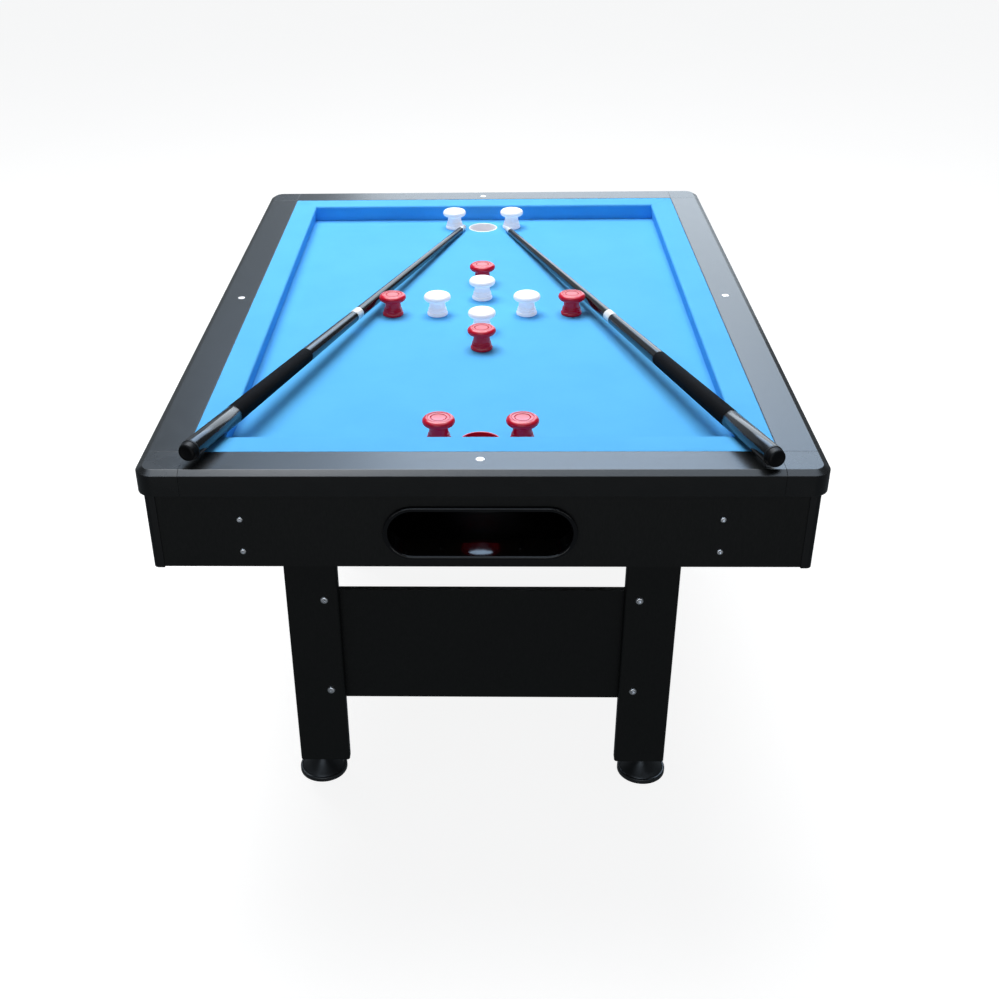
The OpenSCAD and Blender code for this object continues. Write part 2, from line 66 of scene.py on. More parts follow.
# Rails, corner caps, cushions and sights
CLOTH = 0.0015
BEVEL_W = 0.010
BEVEL_H = 0.006
CORNER_ROUND = 0.027
NOSE_R = 0.004
NOSE_UNDER = 0.005
TUCK_R = 0.0012
SIGHT_R = 0.0065
SIGHT_EDGE = 0.0005

# Holes
HOLE_BORE = 0.0285
HOLE_OUTER = 0.03125
SLEEVE_STEP = 0.0006
SLEEVE_LIP = 0.0011

# Bumper posts; the ring round a post's top is an ellipse, given by half its height and half its width
BUMPER_R = 0.025
BUMPER_RING_H = 0.0064
BUMPER_RING_W = 0.0072
BUMPER_H = 0.040
BUMPER_BASE_R = 0.0194
GATE_X = 0.063

# Ball return
MOUTH_Z = 0.697
MOUTH_R = 0.0365
MOUTH_HALF_W = 0.133
BEZEL_W = 0.007
BEZEL_PROUD = 0.006
LIP_IN = 0.0032
LIP_OUT = 0.0018
SILL = 0.030
BOX_WALL = 0.003

# Feet and studs; THREAD_STEPS is for one pitch and THREAD_SEGMENTS for one turn
PAD_R = 0.0445
PAD_RIM_R = 0.0022
PAD_RIM_H = 0.010
FOOT_CONE_R = 0.0397
FOOT_CONE_H = 0.026
STEM_R = 0.013
STUD_R = 0.005
STUD_ROOT = 0.0042
STUD_PITCH = 0.0015
STUD_GAP = 0.0003
BORE_R = 0.00505
THREAD_STEPS = 6
THREAD_SEGMENTS = 24

# Button-head screws: radius of the shank, radius and height of the head
APRON_SCREW = (0.0025, 0.0045, 0.0025)
PANEL_BOLT = (0.004, 0.007, 0.0045)
LEG_BOLT = (0.004, 0.008, 0.004)
BUMPER_SCREW = (0.0025, 0.005, 0.003)
APRON_SCREW_LEN = 0.060
PANEL_BOLT_LEN = 0.028
LEG_BOLT_LEN = 0.053

# Stations along a cue from its tip, and radii there
LEATHER = 0.006
FERRULE_END = 0.025
JOINT_AT = 0.606
COLLAR_END = 0.630
GRIP_START = 0.835
GRIP_END = 1.094
END_CAP_START = 1.225
CUE_LEN = 1.240
TIP_R = 0.00625
JOINT_R = 0.010
COLLAR_R = 0.0104
GRIP_START_R = 0.0125
GRIP_END_R = 0.0145
END_CAP_R = 0.0149
PIN_R = 0.004
PIN_BORE_R = 0.00405
PIN_LEN = 0.030
JOINT_GAP = 0.0003
WRAP_DEPTH = 0.0008
COLLAR_RING = 0.0025
TIP_DOME = 0.0022

# --- Studio and camera: metres, watts and degrees, with the lens and sensor in millimetres ---

FLOOR_REACH = 12.0
FLOOR_COVE = 2.0
FLOOR_GLOW = 0.88
WALL_H = 8.0
SKY = (0.80, 0.91, 1.0)
SKY_STRENGTH = 0.16

NEUTRAL = (1, 1, 1)
COOL = (0.72, 0.85, 1)

# Soft boxes: name, place, target, size, power, colour, and whether it only shows in reflections
SOFT_BOXES = (
    ("overhead", (-0.35, 0.85, 3.8), (0, 0.1, 0.7), (2.6, 2.6), 160, NEUTRAL, False),
    ("front_low", (0, -4.0, 0.40), (0, 0, 0.45), (4.0, 0.66), 22, NEUTRAL, False),
    ("ceiling", (0, 0.75, 4.2), (0, 0.75, 0), (5.0, 5.5), 260, COOL, True),
    ("front_high", (-0.8, -5.0, 3.6), (0, -0.5, 0.4), (4.0, 2.4), 75, COOL, True),
)

# Bright strips in a wall behind the table that only show in reflections: (left, right, power per m2)
REAR_LOW = ((-6.4, -0.85, 1.1), (-0.85, 1.9, 9.2), (1.9, 3.6, 7.4))
REAR_HIGH = ((-6.4, -2.1, 0.5), (-2.1, -0.9, 9.4), (-0.9, 1.9, 18.0), (1.9, 3.6, 14.0))
REAR_Y = 6.0
REAR_TARGET_Z = 1.0

CAMERA_AT = (0.0108, -2.2555, 1.6346)
CAMERA_YAW = -2.097
CAMERA_PITCH = 30.839
CAMERA_ROLL = 1.022
CAMERA_SENSOR = 36
CAMERA_LENS = 45.95
CAMERA_SHIFT = (0.052, 0.0346)


# --- Mesh helpers ---

WELD_REACH = 1e-5
FLAT_ANGLE = math.radians(0.5)
BEVEL_ANGLE = math.radians(30)
SHARP_ANGLE = math.radians(35)


def add_object(name, data):
    """A new object with that data, linked to the scene."""
    obj = bpy.data.objects.new(name, data)
    bpy.context.scene.collection.objects.link(obj)
    return obj


def mesh_object(name, verts, faces):
    """A linked smooth object with that mesh, its normals pointing out and its corners sharp."""
    mesh = bpy.data.meshes.new(name)
    mesh.from_pydata([tuple(v) for v in verts], [], faces)
    bm = bmesh.new()
    bm.from_mesh(mesh)
    bmesh.ops.recalc_face_normals(bm, faces=bm.faces)
    bm.to_mesh(mesh)
    bm.free()
    mesh.polygons.foreach_set("use_smooth", [True] * len(mesh.polygons))
    mesh.set_sharp_from_angle(angle=SHARP_ANGLE)
    return add_object(name, mesh)


def arc(cx, cz, r, start, end, steps):
    """Points on an arc in a section's plane, angles in degrees."""
    turns = [math.radians(start + (end - start) * i / steps) for i in range(steps + 1)]
    return [(cx + r * math.cos(a), cz + r * math.sin(a)) for a in turns]


def turned_ring(radii, z):
    """Points at evenly spaced turns round Z, each with its own radius."""
    turns = [2 * math.pi * k / len(radii) for k in range(len(radii))]
    return [(r * math.cos(a), r * math.sin(a), z) for r, a in zip(radii, turns)]


def stack(rings):
    """All the rings' points in one list, and each ring's point numbers."""
    verts, numbers = [], []
    for ring in rings:
        numbers.append(list(range(len(verts), len(verts) + len(ring))))
        verts += ring
    return verts, numbers


def ring_faces(low, high):
    """Faces between two rings of vertex numbers, either of which may be one point."""
    count = max(len(low), len(high))
    made = []
    for k in range(count):
        n = (k + 1) % count
        if len(low) == 1:
            made.append((low[0], high[n], high[k]))
        elif len(high) == 1:
            made.append((low[k], low[n], high[0]))
        else:
            made.append((low[k], low[n], high[n], high[k]))
    return made


def skin(numbers):
    """Faces from each ring to the next."""
    return [face for low, high in zip(numbers, numbers[1:]) for face in ring_faces(low, high)]


def lathe(profile, segments, closed=False):
    """Vertices and faces of a profile of (radius, height) points turned round Z.
    A closed profile is a ring; an open one starts and ends on the axis."""
    verts, numbers = stack([turned_ring([r] * (segments if r > 0 else 1), z) for r, z in profile])
    if closed:
        numbers.append(numbers[0])
    return verts, skin(numbers)


def capped(rings):
    """Vertices and faces of a pile of rings with a flat face at each end."""
    verts, numbers = stack(rings)
    return verts, [tuple(reversed(numbers[0])), tuple(numbers[-1]), *skin(numbers)]


def together(*shapes):
    """Several shapes' vertices and faces as one."""
    verts, faces = [], []
    for shape in shapes:
        start = len(verts)
        verts += shape[0]
        faces += [tuple(start + k for k in face) for face in shape[1]]
    return verts, faces


def moved(shape, matrix):
    return [matrix @ Vector(v) for v in shape[0]], shape[1]


def copies(shape, spots):
    """The same shape at several spots."""
    return together(*[moved(shape, Matrix.Translation(spot)) for spot in spots])


def soften(obj, width=EDGE):
    """Joins flat faces, rounds the sharp edges and evens the shading, all with modifiers."""
    weld = obj.modifiers.new("weld", "WELD")
    weld.merge_threshold = WELD_REACH
    flat = obj.modifiers.new("flat", "DECIMATE")
    flat.decimate_type = "DISSOLVE"
    flat.angle_limit = FLAT_ANGLE
    bevel = obj.modifiers.new("edges", "BEVEL")
    bevel.width = width
    bevel.segments = 2
    bevel.limit_method = "ANGLE"
    bevel.angle_limit = BEVEL_ANGLE
    bevel.harden_normals = False
    even_shading(obj)


def even_shading(obj):
    normals = obj.modifiers.new("normals", "WEIGHTED_NORMAL")
    normals.weight = 60
    return normals


def place(obj, body, replaced, material):
    """Rides a new piece on its body in place of its CAD node."""
    obj.data.materials.append(material)
    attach(obj, body)
    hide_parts(*replaced)


def dress(node, material, width=EDGE):
    """Gives a CAD node its material and rounded edges."""
    NODES[node].data.materials[0] = material
    soften(NODES[node], width)


# --- Material helpers ---

class Shader:
    """A material under construction, with short calls for the nodes it needs."""

    def __init__(self, name, colour, roughness, **constants):
        self.material = bpy.data.materials.new(name)
        self.material.use_nodes = True
        self.tree = self.material.node_tree
        self.surface = self.tree.nodes["Principled BSDF"]
        self.surface.inputs["Base Color"].default_value = (*colour, 1)
        self.surface.inputs["Roughness"].default_value = roughness
        for socket, value in constants.items():
            self.surface.inputs[socket.replace("_", " ")].default_value = value
        self.coords = self.add("TexCoord").outputs["Object"]

    def add(self, kind, **settings):
        node = self.tree.nodes.new("ShaderNode" + kind)
        for key, value in settings.items():
            setattr(node, key, value)
        return node

    def feed(self, socket, source):
        """Links a socket to another node's output, or sets it to a constant."""
        if hasattr(source, "is_output"):
            self.tree.links.new(source, socket)
        else:
            socket.default_value = source

    def noise(self, size, detail=3.0, stretch=(1, 1, 1)):
        """Noise with features about that big, in metres."""
        mapping = self.add("Mapping")
        self.feed(mapping.inputs["Vector"], self.coords)
        mapping.inputs["Scale"].default_value = stretch
        node = self.add("TexNoise")
        self.feed(node.inputs["Vector"], mapping.outputs["Vector"])
        node.inputs["Scale"].default_value = 1 / size
        node.inputs["Detail"].default_value = detail
        return node.outputs["Fac"]

    def threads(self, axis, spacing):
        """A wave from 0 to 1 across threads that lie that far apart along an axis."""
        dot = self.add("VectorMath", operation="DOT_PRODUCT")
        self.feed(dot.inputs[0], self.coords)
        dot.inputs[1].default_value = axis
        phase = self.math("MULTIPLY", dot.outputs["Value"], 2 * math.pi / spacing)
        wave = self.math("SINE", phase)
        return self.math("MULTIPLY_ADD", wave, 0.5, 0.5)

    def math(self, operation, *values):
        node = self.add("Math", operation=operation)
        for socket, value in zip(node.inputs, values):
            self.feed(socket, value)
        return node.outputs[0]

    def blend(self, a, b, share):
        """A sum of two values, the first with that share and the second with the rest."""
        return self.math("ADD", self.math("MULTIPLY", a, share), self.math("MULTIPLY", b, 1 - share))

    def ramp(self, value, low, high, start=0.3, end=0.7):
        """Maps a value smoothly onto a range."""
        node = self.add("MapRange", interpolation_type="SMOOTHSTEP")
        self.feed(node.inputs["Value"], value)
        node.inputs["From Min"].default_value = start
        node.inputs["From Max"].default_value = end
        node.inputs["To Min"].default_value = low
        node.inputs["To Max"].default_value = high
        return node.outputs["Result"]

    def mix(self, factor, a, b):
        node = self.add("Mix", data_type="RGBA")
        self.feed(node.inputs["Factor"], factor)
        self.feed(node.inputs[6], a if hasattr(a, "is_output") else (*a, 1))
        self.feed(node.inputs[7], b if hasattr(b, "is_output") else (*b, 1))
        return node.outputs[2]

    def colour(self, source):
        self.feed(self.surface.inputs["Base Color"], source)

    def rough(self, source):
        self.feed(self.surface.inputs["Roughness"], source)

    def bump(self, height, depth, strength):
        """A bump whose full height is that deep, in metres; bumps add up."""
        node = self.add("Bump")
        node.inputs["Strength"].default_value = strength
        node.inputs["Distance"].default_value = depth
        self.feed(node.inputs["Height"], height)
        before = self.surface.inputs["Normal"].links
        if before:
            self.feed(node.inputs["Normal"], before[0].from_socket)
        self.feed(self.surface.inputs["Normal"], node.outputs["Normal"])


def shaded(colour, share):
    return tuple(c * share for c in colour)


def worsted():
    """Blue worsted wool: fine plain weave, short nap and a faint unevenness."""
    s = Shader("worsted_blue", (0.112, 0.44, 0.93), 0.85, Specular_IOR_Level=0.02)
    warp = s.threads((1, 0, 0.7), 0.0009)
    weft = s.threads((0, 1, 0.7), 0.0009)
    weave = s.math("MULTIPLY", warp, weft)
    nap = s.noise(0.0012, 4)
    cloudy = s.noise(0.09, 3)
    tone = s.blend(nap, cloudy, 0.5)
    shade = s.mix(s.ramp(tone, 0, 1, 0.35, 0.65), (0.106, 0.445, 0.86), (0.117, 0.475, 0.90))
    s.colour(s.mix(s.math("MULTIPLY", weave, 0.18), shade, (0.094, 0.40, 0.80)))
    s.rough(s.ramp(nap, 0.68, 0.85))
    s.bump(weave, 0.00012, 0.6)
    s.bump(nap, 0.00025, 0.6)
    return s.material


def laminate(name, level, roughness, shade, grain=(1, 1, 1)):
    """Black satin laminate with a fine pressed grain and faint rubbing marks."""
    s = Shader(name, (0.006, 0.0065, 0.007), roughness, Specular_IOR_Level=level)
    pores = s.noise(0.0016, 4, grain)
    marks = s.noise(0.018, 3)
    dark = shaded((0.85, 0.9, 0.88), shade)
    light = shaded((1.15, 1.2, 1.17), shade)
    s.colour(s.mix(s.ramp(pores, 0, 1), dark, light))
    s.rough(s.ramp(marks, roughness - 0.008, roughness + 0.012))
    s.bump(pores, 0.00003, 0.35)
    return s.material


def moulded(name, colour, level, roughness, depth=0.00005):
    """Moulded plastic or rubber with a spark-eroded grain."""
    s = Shader(name, colour, roughness, Specular_IOR_Level=level)
    pits = s.noise(0.0011, 3)
    marks = s.noise(0.03, 4)
    s.colour(s.mix(s.ramp(marks, 0, 1), shaded(colour, 0.9), colour))
    s.rough(s.ramp(marks, roughness - 0.01, roughness + 0.015))
    s.bump(pits, depth, 0.6)
    return s.material


def glossy(name, colour, roughness, level=0.5, subsurface=0.0, painted_light_glow=(0, 0, 0), ripple=0.00006):
    """Polished plastic: slight unevenness, hairline rubbing, and an optional glow that is painted light,
    lifting the plastic where it lies in shade.
    """
    # The glow is emission that stands in for light: painted light on the plastic's shaded sides, not a
    # dye.
    s = Shader(name, colour, roughness, Specular_IOR_Level=level, Subsurface_Weight=subsurface,
               Subsurface_Scale=0.01, Subsurface_Radius=(1, 1, 1), Emission_Color=(*painted_light_glow, 1),
               Emission_Strength=1.0 if any(painted_light_glow) else 0.0)
    swirl = s.noise(0.012, 3)
    rubbed = s.noise(0.004, 5, (1, 4, 1))
    s.colour(s.mix(s.ramp(swirl, 0, 1), shaded(colour, 0.93), colour))
    s.rough(s.ramp(rubbed, roughness - 0.02, roughness + 0.03))
    s.bump(swirl, ripple, 0.4)
    return s.material


def zinc():
    """Zinc-plated steel: brushed, with dull patches."""
    s = Shader("zinc_steel", (0.72, 0.72, 0.73), 0.3, Metallic=1.0)
    brushed = s.noise(0.0005, 2, (6, 1, 1))
    dull = s.noise(0.006, 4)
    s.colour(s.mix(s.ramp(dull, 0, 1), (0.60, 0.60, 0.61), (0.78, 0.78, 0.80)))
    s.rough(s.ramp(dull, 0.22, 0.42))
    s.bump(brushed, 0.00002, 0.4)
    return s.material


def fibreboard():
    """Raw fibreboard: pressed fibres in two sizes."""
    s = Shader("bare_board", (0.42, 0.31, 0.20), 0.85, Specular_IOR_Level=0.2)
    fibres = s.noise(0.0012, 6, (1, 3, 1))
    clouds = s.noise(0.04, 4)
    tone = s.blend(fibres, clouds, 0.6)
    s.colour(s.mix(s.ramp(tone, 0, 1, 0.35, 0.65), (0.33, 0.235, 0.145), (0.48, 0.36, 0.235)))
    s.bump(fibres, 0.0002, 0.6)
    return s.material


def cue_wrap(name, axis):
    """Black pressed linen wrap: turns of thread about the cue's own axis."""
    s = Shader(name, (0.005, 0.0052, 0.006), 0.8, Specular_IOR_Level=0.03)
    turns = s.threads(axis, 0.0011)
    fuzz = s.noise(0.0006, 4)
    s.colour(s.mix(s.math("MULTIPLY", turns, 0.6), (0.0035, 0.0038, 0.0045), (0.008, 0.008, 0.009)))
    s.rough(s.ramp(fuzz, 0.68, 0.85))
    s.bump(turns, 0.00022, 0.7)
    s.bump(fuzz, 0.00008, 0.5)
    return s.material


def leather():
    """Pale pressed leather of a cue's tip."""
    s = Shader("cue_leather", (0.72, 0.70, 0.66), 0.7, Specular_IOR_Level=0.3)
    fibre = s.noise(0.0012, 5)
    s.colour(s.mix(s.ramp(fibre, 0, 1), (0.55, 0.52, 0.47), (0.80, 0.78, 0.74)))
    s.bump(fibre, 0.00015, 0.7)
    return s.material


RAIL_BLACK = laminate("rail_laminate", level=0.4, roughness=0.26, shade=0.0055)
BOARD_BLACK = laminate("board_laminate", level=0.15, roughness=0.45, shade=0.0105, grain=(1, 1, 0.25))
CORNER_BLACK = moulded("corner_plastic", (0.006, 0.0064, 0.0064), level=0.4, roughness=0.27, depth=0.00002)
TRIM_BLACK = moulded("trim_plastic", (0.008, 0.0085, 0.009), level=0.25, roughness=0.4)
FOOT_BLACK = moulded("foot_plastic", (0.010, 0.011, 0.013), level=0.5, roughness=0.35)
BOX_BLACK = glossy("ball_box_plastic", (0.005, 0.005, 0.006), roughness=0.06, level=0.3)
# Both plastics glow a little: painted light that brightens the shaded bases of the posts, the insides of
# the sleeves and the sights.
RED = glossy("bumper_red", (0.56, 0.004, 0.024), roughness=0.14, level=0.4, painted_light_glow=(0.075, 0, 0.003))
WHITE = glossy("bumper_white", (0.82, 0.83, 0.85), roughness=0.16, subsurface=0.2, painted_light_glow=(0.28, 0.27, 0.31))
CUE_WHITE = glossy("cue_white", (0.84, 0.84, 0.83), roughness=0.12, subsurface=0.05)
CUE_BLACK = glossy("cue_lacquer", (0.004, 0.004, 0.0045), roughness=0.14, level=0.4, ripple=0.000006)
RUBBER = moulded("black_rubber", (0.004, 0.004, 0.0045), level=0.12, roughness=0.4)
GUM = moulded("gum_rubber", (0.16, 0.12, 0.09), level=0.3, roughness=0.7)
CLOTH_BLUE = worsted()
ZINC = zinc()
BOARD_RAW = fibreboard()
LEATHER_TIP = leather()


# --- Rails, corner caps and cushions ---

def side_box(node, side):
    """A node's box seen from its own side: outer and inner distance, half length, low and high."""
    low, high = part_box(node)
    across, along = (0, 1) if side % 2 == 0 else (1, 0)
    outer = max(abs(low[across]), abs(high[across]))
    inner = min(abs(low[across]), abs(high[across]))
    return outer, inner, high[along], low.z, high.z


def apron_inner(name, side):
    """Distance of an apron's inner face from the middle of the table."""
    return side_box(f"apron_{name}", side)[1]


def bed_top():
    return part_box("bed_cloth")[1].z


def swept(section, outer, side, half_at):
    """A section of (inward, height) points run along one side; half_at gives its half length there."""
    turn = Matrix.Rotation(math.radians(90 * side), 4, "Z")
    verts = [turn @ Vector((u - outer, end * half_at(u), z)) for end in (-1, 1) for u, z in section]
    count = len(section)
    faces = [tuple(range(count)), tuple(range(2 * count - 1, count - 1, -1))]
    return verts, faces + ring_faces(range(count), range(count, 2 * count))


def make_rail(name, side):
    """A rail with a flat bevel on its outer edge and a rebate over its apron."""
    outer, inner, half, low, high = side_box(f"rail_{name}", side)
    width = outer - inner
    step = outer - apron_inner(name, side)
    section = [(step, low), (0, low), (0, high - BEVEL_H), (BEVEL_W, high)]
    section += [(width, high), (width, bed_top()), (step, bed_top())]
    rail = mesh_object(f"rail_{name}_laminate", *swept(section, outer, side, lambda u: half))
    place(rail, "table", [f"rail_{name}"], RAIL_BLACK)
    soften(rail, SEAM)


def cap_ring(inset, z, reach, corner):
    """A cap's two outer sides at an inset and a height, from the end rail's seam to the side rail's."""
    centre = [r - CORNER_ROUND for r in reach]
    plan = [(corner[0], reach[1] - inset)]
    plan += arc(*centre, CORNER_ROUND - inset, 90, 0, 16)
    plan += [(reach[0] - inset, corner[1])]
    return [(x, y, z) for x, y in plan]


def cap_inside(corner, low, high):
    """A cap's inner points: where the rails meet, then round the skirt, each high and low."""
    x, y = corner
    skirt_x, skirt_y = apron_inner("left", 0), apron_inner("front", 1)
    points = [(x, y, high), (x, y, bed_top())]
    for px, py in ((skirt_x, y), (skirt_x, skirt_y), (x, skirt_y)):
        points += [(px, py, bed_top()), (px, py, low)]
    return points


def cap_faces(rings, top, under, side_hi, side_lo, nook_hi, nook_lo, end_hi, end_lo):
    """Faces of a cap from the point numbers of its outer rings and its inner points."""
    faces = []
    for lower, upper in zip(rings, rings[1:]):
        faces += [(lower[k], lower[k + 1], upper[k + 1], upper[k]) for k in range(len(lower) - 1)]
    faces.append((*rings[-1], top))
    faces.append((*[ring[0] for ring in rings], top, under, end_hi, end_lo))
    faces.append((*[ring[-1] for ring in rings], top, under, side_hi, side_lo))
    faces.append((*rings[0], side_lo, nook_lo, end_lo))
    faces += [(under, side_hi, nook_hi, end_hi), (side_hi, side_lo, nook_lo, nook_hi)]
    faces.append((nook_hi, nook_lo, end_lo, end_hi))
    return faces


def make_corner_cap(name, sx, sy):
    """A cap with its bevelled top edge run round the corner, and an L-shaped skirt."""
    low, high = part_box(f"corner_cap_{name}")
    reach = [max(abs(low[i]), abs(high[i])) for i in (0, 1)]
    corner = [min(abs(low[i]), abs(high[i])) for i in (0, 1)]
    levels = [(0, low.z), (0, high.z - BEVEL_H), (BEVEL_W, high.z)]
    rings = [cap_ring(inset, z, reach, corner) for inset, z in levels]
    verts, numbers = stack([*rings, cap_inside(corner, low.z, high.z)])
    verts = [(sx * x, sy * y, z) for x, y, z in verts]
    cap = mesh_object(f"corner_cap_{name}_moulding", verts, cap_faces(numbers[:-1], *numbers[-1]))
    place(cap, "table", [f"corner_cap_{name}"], CORNER_BLACK)
    soften(cap, SEAM)


def offset_line(points, distance):
    """A line beside an open line, moved along the mean normal at each point."""
    made = []
    for k, point in enumerate(points):
        before = Vector(points[max(k - 1, 0)])
        after = Vector(points[min(k + 1, len(points) - 1)])
        along = (after - before).normalized()
        made.append((point[0] + along.y * distance, point[1] - along.x * distance))
    return made


def make_cushion_cloth(name, side):
    """Cloth rolled in at the rail, over the top, round the nose and down the face."""
    outer, inner, half, low, high = side_box(f"cushion_cloth_{name}", side)
    width = outer - inner
    line = arc(TUCK_R + CLOTH, high - TUCK_R - CLOTH, TUCK_R + CLOTH, 180, 90, 5)
    line += [(width * share, high) for share in (0.3, 0.6)]
    line += arc(width - NOSE_R, high - NOSE_R, NOSE_R, 90, -9, 9)
    line += [(width - NOSE_UNDER, low)]
    section = line + offset_line(line, CLOTH)[::-1]
    shape = swept(section, outer, side, lambda u: half - u)
    cloth = mesh_object(f"cushion_cloth_{name}_stretched", *shape)
    place(cloth, "table", [f"cushion_cloth_{name}"], CLOTH_BLUE)
    soften(cloth, SEAM)


def make_sights():
    """Round sights with a small chamfer, one in the middle of each rail."""
    low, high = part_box("rail_sights")
    profile = [(0, low.z), (SIGHT_R, low.z), (SIGHT_R, high.z - SIGHT_EDGE)]
    profile += [(SIGHT_R - SIGHT_EDGE * 0.3, high.z - SIGHT_EDGE * 0.3)]
    profile += [(SIGHT_R - SIGHT_EDGE, high.z), (0, high.z)]
    x, y = high.x - SIGHT_R, high.y - SIGHT_R
    spots = [(x, 0, 0), (-x, 0, 0), (0, y, 0), (0, -y, 0)]
    sights = mesh_object("rail_sight_dots", *copies(lathe(profile, 32), spots))
    place(sights, "table", ["rail_sights"], WHITE)


# --- Bed ---

def hole_y(end):
    """A hole's distance along the table, from its sleeve."""
    low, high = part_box("hole_sleeve_red" if end == "front" else "hole_sleeve_white")
    return (low.y + high.y) / 2


def make_bed_cloth():
    """One stretched sheet with a hole for each sleeve."""
    low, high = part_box("bed_cloth")
    loops = [[(low.x, low.y), (high.x, low.y), (high.x, high.y), (low.x, high.y)]]
    for end, _ in ENDS:
        loops.append([(x, hole_y(end) + y) for x, y, _ in turned_ring([HOLE_OUTER] * 72, 0)])
    bm = bmesh.new()
    for loop in loops:
        points = [bm.verts.new((x, y, high.z)) for x, y in loop]
        for k, point in enumerate(points):
            bm.edges.new((point, points[(k + 1) % len(points)]))
    bmesh.ops.triangle_fill(bm, edges=bm.edges[:], use_beauty=True, normal=(0, 0, 1))
    made = bmesh.ops.extrude_face_region(bm, geom=bm.faces[:])
    lower = [g for g in made["geom"] if isinstance(g, bmesh.types.BMVert)]
    bmesh.ops.translate(bm, verts=lower, vec=(0, 0, low.z - high.z))
    bmesh.ops.recalc_face_normals(bm, faces=bm.faces)
    mesh = bpy.data.meshes.new("bed_cloth_stretched")
    bm.to_mesh(mesh)
    bm.free()
    cloth = add_object("bed_cloth_stretched", mesh)
    place(cloth, "table", ["bed_cloth"], CLOTH_BLUE)


def make_sleeve(tint, end, material):
    """A sleeve with a rounded lip that stands on the cloth's edge."""
    low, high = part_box(f"hole_sleeve_{tint}")
    profile = [(HOLE_OUTER, low.z), (HOLE_OUTER, high.z - SLEEVE_STEP)]
    profile += arc(HOLE_OUTER - SLEEVE_LIP, high.z - SLEEVE_LIP, SLEEVE_LIP, 60, 90, 3)
    profile += arc(HOLE_BORE + SLEEVE_LIP, high.z - SLEEVE_LIP, SLEEVE_LIP, 90, 180, 6)
    profile += [(HOLE_BORE, low.z)]
    shape = copies(lathe(profile, 96, closed=True), [(0, hole_y(end), 0)])
    sleeve = mesh_object(f"hole_sleeve_{tint}_moulding", *shape)
    place(sleeve, "table", [f"hole_sleeve_{tint}"], material)


# --- Bumpers ---

def bumper_places(tint, end):
    """Plan places of one colour: two on each axis at the same step, and two beside the hole."""
    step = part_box(f"{tint}_bumpers")[1].x - BUMPER_R
    gate_y = hole_y(end)
    return [(-step, 0), (step, 0), (0, -step), (0, step), (-GATE_X, gate_y), (GATE_X, gate_y)]


def bumper_profile():
    """Half section of a post: ridged flared base, waist, round ring and a grooved top."""
    ring_x, ring_z = BUMPER_R - BUMPER_RING_W, BUMPER_H - BUMPER_RING_H
    foot = [(0, 0), (BUMPER_BASE_R - 0.0016, 0), (BUMPER_BASE_R - 0.0003, 0.0009), (BUMPER_BASE_R, 0.0022)]
    foot += [(BUMPER_BASE_R, 0.0036), (BUMPER_BASE_R - 0.0006, 0.0050), (BUMPER_BASE_R - 0.0020, 0.0060)]
    ridges = [(0.0166, 0.0064), (0.0165, 0.0069), (0.0175, 0.0075), (0.0176, 0.0090)]
    ridges += [(0.0170, 0.0102), (0.0157, 0.0106), (0.0156, 0.0111), (0.0165, 0.0117)]
    ridges += [(0.0165, 0.0130), (0.0159, 0.0141), (0.0150, 0.0145), (0.0151, 0.0152)]
    waist = [(0.0148, 0.0180), (0.0144, 0.0215), (0.0142, 0.0255)]
    ring = [(ring_x + BUMPER_RING_W * c, ring_z + BUMPER_RING_H * s)
            for c, s in arc(0, 0, 1, -118, 80, 22)]
    grooves = [(0.0178, 0.0397), (0.0174, 0.0386), (0.0168, 0.0386), (0.0164, 0.0394)]
    grooves += [(0.0128, 0.0394), (0.0125, 0.0378), (0.0119, 0.0373), (0.0113, 0.0378)]
    grooves += [(0.0110, 0.0392), (0.0070, 0.0393), (0, 0.0393)]
    return foot + ridges + waist + ring + grooves


def make_bumpers(tint, end, material):
    spots = [(x, y, bed_top()) for x, y in bumper_places(tint, end)]
    posts = mesh_object(f"{tint}_bumper_posts", *copies(lathe(bumper_profile(), 72), spots))
    place(posts, "table", [f"{tint}_bumpers"], material)


# --- Ball return ---

def mouth_ring(offset, y):
    """The mouth's outline at a distance along the table, grown by an offset."""
    r = MOUTH_R + offset
    reach = MOUTH_HALF_W - MOUTH_R
    outline = arc(reach, MOUTH_Z, r, -90, 90, 20) + arc(-reach, MOUTH_Z, r, 90, 270, 20)
    return [(x, y, z) for x, z in outline]


def mouth_stations(face_y):
    """(offset, distance) from the tray out through the apron, round the bezel's lip and back in."""
    proud_y = face_y + BEZEL_PROUD
    stations = [(BOX_WALL, face_y - SILL), (BOX_WALL, face_y), (BEZEL_W, face_y)]
    stations += arc(BEZEL_W - LIP_OUT, proud_y - LIP_OUT, LIP_OUT, 0, 90, 5)
    stations += arc(LIP_IN, proud_y - LIP_IN, LIP_IN, 90, 180, 7)
    return stations + [(0, face_y - SILL * 0.5), (0, face_y - SILL - BOX_WALL)]


def tray_corners(low, high, front, inset):
    """Corners of the tray's outer or inner skin: the front wall's four, then the back wall's."""
    back = min(abs(low.y), abs(high.y))
    x, z0, z1 = high.x - inset, low.z + inset, high.z
    made = []
    for y in (front - inset, back + inset):
        made += [(-x, y, z0), (x, y, z0), (x, y, z1), (-x, y, z1)]
    return made


def tray_faces(outer, inner):
    """The tray's floor, sides and back wall in both skins, and the edge round its open top."""
    faces = []
    for c in (outer, inner):
        faces += [(c[0], c[1], c[5], c[4]), (c[0], c[4], c[7], c[3])]
        faces += [(c[1], c[2], c[6], c[5]), (c[4], c[5], c[6], c[7])]
    for a, b in ((3, 2), (2, 6), (6, 7), (7, 3)):
        faces.append((outer[a], outer[b], inner[b], inner[a]))
    return faces


